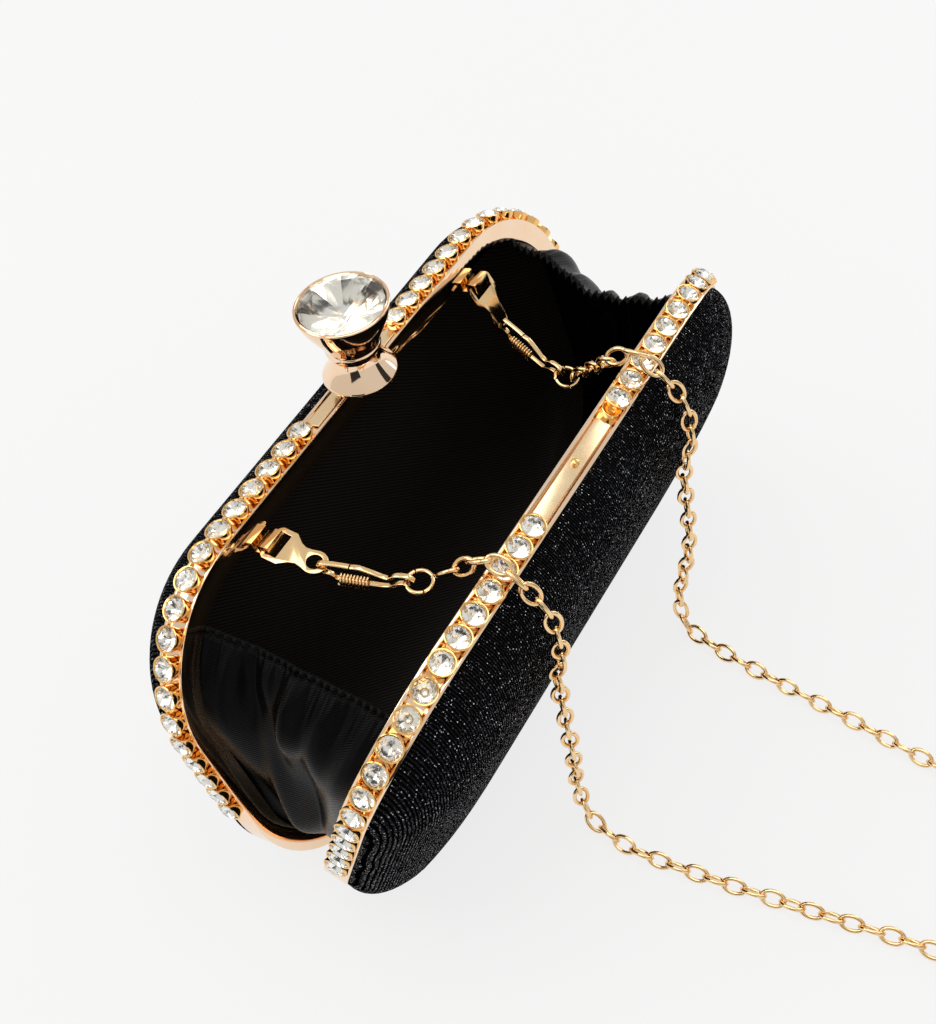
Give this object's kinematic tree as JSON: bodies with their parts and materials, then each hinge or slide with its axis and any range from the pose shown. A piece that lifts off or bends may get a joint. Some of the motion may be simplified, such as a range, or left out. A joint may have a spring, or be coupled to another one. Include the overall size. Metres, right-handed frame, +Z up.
{
  "type": "framed evening bag with chain strap",
  "caption": "Two-shell evening bag standing open: glitter-covered domed shells, crystal-set metal frames, knob clasp, cloth gussets and a chain strap.",
  "frame": {"origin": "floor under the hinge, midway along the bag, where the open bag stands on its two bottom frame edges", "axes": "+Z up, +X along the bag's length towards its far end, +Y towards the back half that carries the knob"},
  "size_m": [0.1938, 0.2637, 0.1322],
  "materials": {
    "frame_gold": "polished, light rose gold plated",
    "setting_gold": "polished, warm gold plated",
    "chain_gold": "polished, light gold plated",
    "steel": "satin",
    "crystal": "clear, faceted, foiled behind",
    "glitter_cloth": "black cloth with fine ribs and dense silver glitter",
    "board": "moulded shell, hidden between cover and lining",
    "lining_cloth": "fine-ribbed black lining",
    "gusset_satin": "black satin",
    "elastic": "black elastic in a gathered hem"
  },
  "bodies": {
    "back_half": {"back_shell": "board", "back_cover": "glitter_cloth", "back_lining": "lining_cloth", "back_frame": "frame_gold", "back_cups_near": "setting_gold", "back_cups_far": "setting_gold", "back_crystals_near": "crystal", "back_crystals_far": "crystal", "back_plate": "frame_gold", "clasp_bracket": "setting_gold", "clasp_pin": "steel", "clasp_spring": "steel", "hinge_pin": "steel", "near_lug": "chain_gold", "far_lug": "chain_gold", "near_gusset": "gusset_satin", "far_gusset": "gusset_satin", "near_elastic": "elastic", "far_elastic": "elastic", "near_chain": "chain_gold", "far_chain": "chain_gold", "chain_coil": "chain_gold"},
    "knob": {"knob_crystal": "crystal", "knob_cup": "setting_gold", "knob_foot": "setting_gold"},
    "front_half": {"front_shell": "board", "front_cover": "glitter_cloth", "front_lining": "lining_cloth", "front_frame": "frame_gold", "front_cups_near": "setting_gold", "front_cups_far": "setting_gold", "front_crystals_near": "crystal", "front_crystals_far": "crystal", "front_plate": "frame_gold", "front_stud": "setting_gold"},
    "near_tab_plate": {"near_tab": "chain_gold"},
    "near_snap_hook": {"near_hook": "chain_gold", "near_spring": "chain_gold"},
    "near_hook_lever": {"near_lever": "chain_gold"},
    "near_jump_ring": {"near_ring": "chain_gold"},
    "far_tab_plate": {"far_tab": "chain_gold"},
    "far_snap_hook": {"far_hook": "chain_gold", "far_spring": "chain_gold"},
    "far_hook_lever": {"far_lever": "chain_gold"},
    "far_jump_ring": {"far_ring": "chain_gold"}
  },
  "joints": [
    {"name": "main_hinge", "type": "hinge", "parent": "back_half", "child": "front_half", "pos_m": [0, 0, 0.00199], "axis": [1, 0, 0], "range_deg": [-31.2, 3], "deforming": ["near_gusset", "near_elastic", "near_chain", "far_gusset", "far_elastic", "far_chain"]},
    {"name": "clasp_tilt", "type": "hinge", "parent": "back_half", "child": "knob", "pos_m": [0.0012, 0.03347, 0.10477], "axis": [1, 0, 0], "range_deg": [-10, 0], "stiffness_Nm_per_rad": 0.05, "springref_deg": 4.58},
    {"name": "near_tab_swing", "type": "hinge", "parent": "back_half", "child": "near_tab_plate", "pos_m": [-0.0483, 0.02439, 0.09657], "axis": [1, 0, 0], "range_deg": [-8, 80.5]},
    {"name": "near_hook_swing", "type": "hinge", "parent": "near_tab_plate", "child": "near_snap_hook", "pos_m": [-0.0483, 0.00926, 0.09582], "axis": [-0.9677, -0.252, 0], "range_deg": [-20, 20]},
    {"name": "near_lever_swing", "type": "hinge", "parent": "near_snap_hook", "child": "near_hook_lever", "pos_m": [-0.04657, 0.0026, 0.09799], "axis": [-0.9677, -0.252, 0], "range_deg": [0, 14], "stiffness_Nm_per_rad": 0.001, "springref_deg": -5.73},
    {"name": "near_ring_swing", "type": "hinge", "parent": "near_snap_hook", "child": "near_jump_ring", "pos_m": [-0.04312, -0.01064, 0.09706], "axis": [-0.9677, -0.252, 0], "range_deg": [-25, 25]},
    {"name": "far_tab_swing", "type": "hinge", "parent": "back_half", "child": "far_tab_plate", "pos_m": [0.0523, 0.02439, 0.09657], "axis": [1, 0, 0], "range_deg": [-3, 25]},
    {"name": "far_hook_swing", "type": "hinge", "parent": "far_tab_plate", "child": "far_snap_hook", "pos_m": [0.0523, 0.01629, 0.08377], "axis": [-0.9664, 0.257, 0], "range_deg": [-40.5, 4]},
    {"name": "far_lever_swing", "type": "hinge", "parent": "far_snap_hook", "child": "far_hook_lever", "pos_m": [0.05045, 0.00932, 0.08394], "axis": [-0.9664, 0.257, 0], "range_deg": [0, 14], "stiffness_Nm_per_rad": 0.001, "springref_deg": -5.73},
    {"name": "far_ring_swing", "type": "hinge", "parent": "far_snap_hook", "child": "far_jump_ring", "pos_m": [0.04714, -0.00313, 0.07923], "axis": [-0.9664, 0.257, 0], "range_deg": [-25, 25]}
  ],
  "couplings": [
    {"joint": "near_tab_swing", "follows": "main_hinge", "ratio": -2.56},
    {"joint": "far_tab_swing", "follows": "main_hinge", "ratio": -0.78},
    {"joint": "far_hook_swing", "follows": "main_hinge", "ratio": 1.28}
  ]
}
